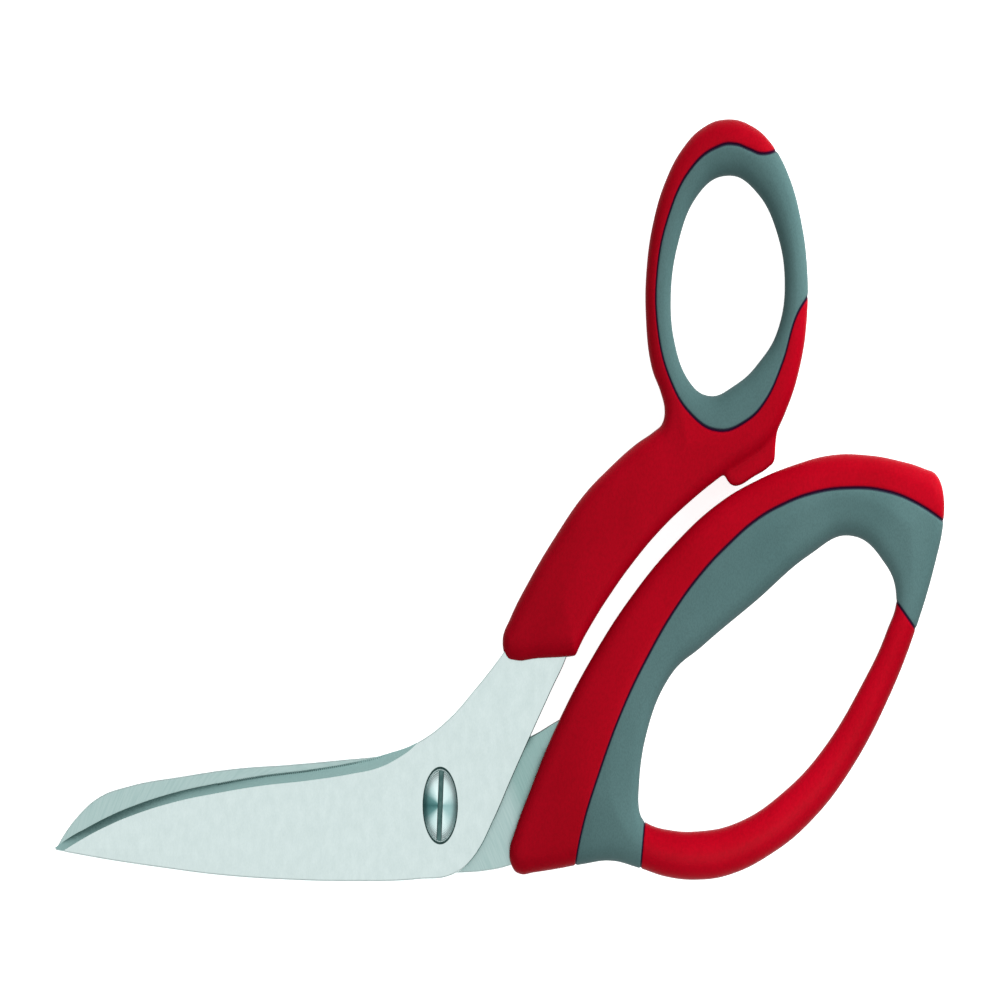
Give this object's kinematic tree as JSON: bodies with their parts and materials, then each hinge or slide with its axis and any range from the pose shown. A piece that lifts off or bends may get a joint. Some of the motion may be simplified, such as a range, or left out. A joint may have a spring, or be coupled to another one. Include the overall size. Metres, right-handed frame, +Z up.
{
  "type": "universal shears",
  "caption": "Hand shears for cloth and sheet material: bevelled steel blades crossing on a slotted pivot screw, with a round thumb ring and a long finger bow.",
  "frame": {"origin": "middle of the closed shears' box in x and y, on the plane they lie on", "axes": "+X from the tips to the handles, +Y towards the thumb ring, +Z up, square to the blades"},
  "size_m": [0.2003, 0.0779, 0.0104],
  "materials": {
    "blade_steel": "fine satin grind, ground bevels",
    "screw_steel": "turned, bright",
    "washer_nylon": "plain",
    "handle_red": "satin, hard moulded plastic",
    "grip_grey": "matte soft-touch overmoulding"
  },
  "bodies": {
    "finger_half": {"rear_blade": "blade_steel", "finger_handle": "handle_red", "finger_grip": "grip_grey", "pivot_screw": "screw_steel", "head_washer": "washer_nylon", "pivot_nut": "screw_steel"},
    "thumb_half": {"front_blade": "blade_steel", "thumb_handle": "handle_red", "thumb_grip": "grip_grey"}
  },
  "joints": [
    {"name": "pivot", "type": "hinge", "parent": "finger_half", "child": "thumb_half", "pos_m": [-0.01345, -0.03125, 0.0052], "axis": [0, 0, 1], "range_deg": [0, 110]}
  ]
}
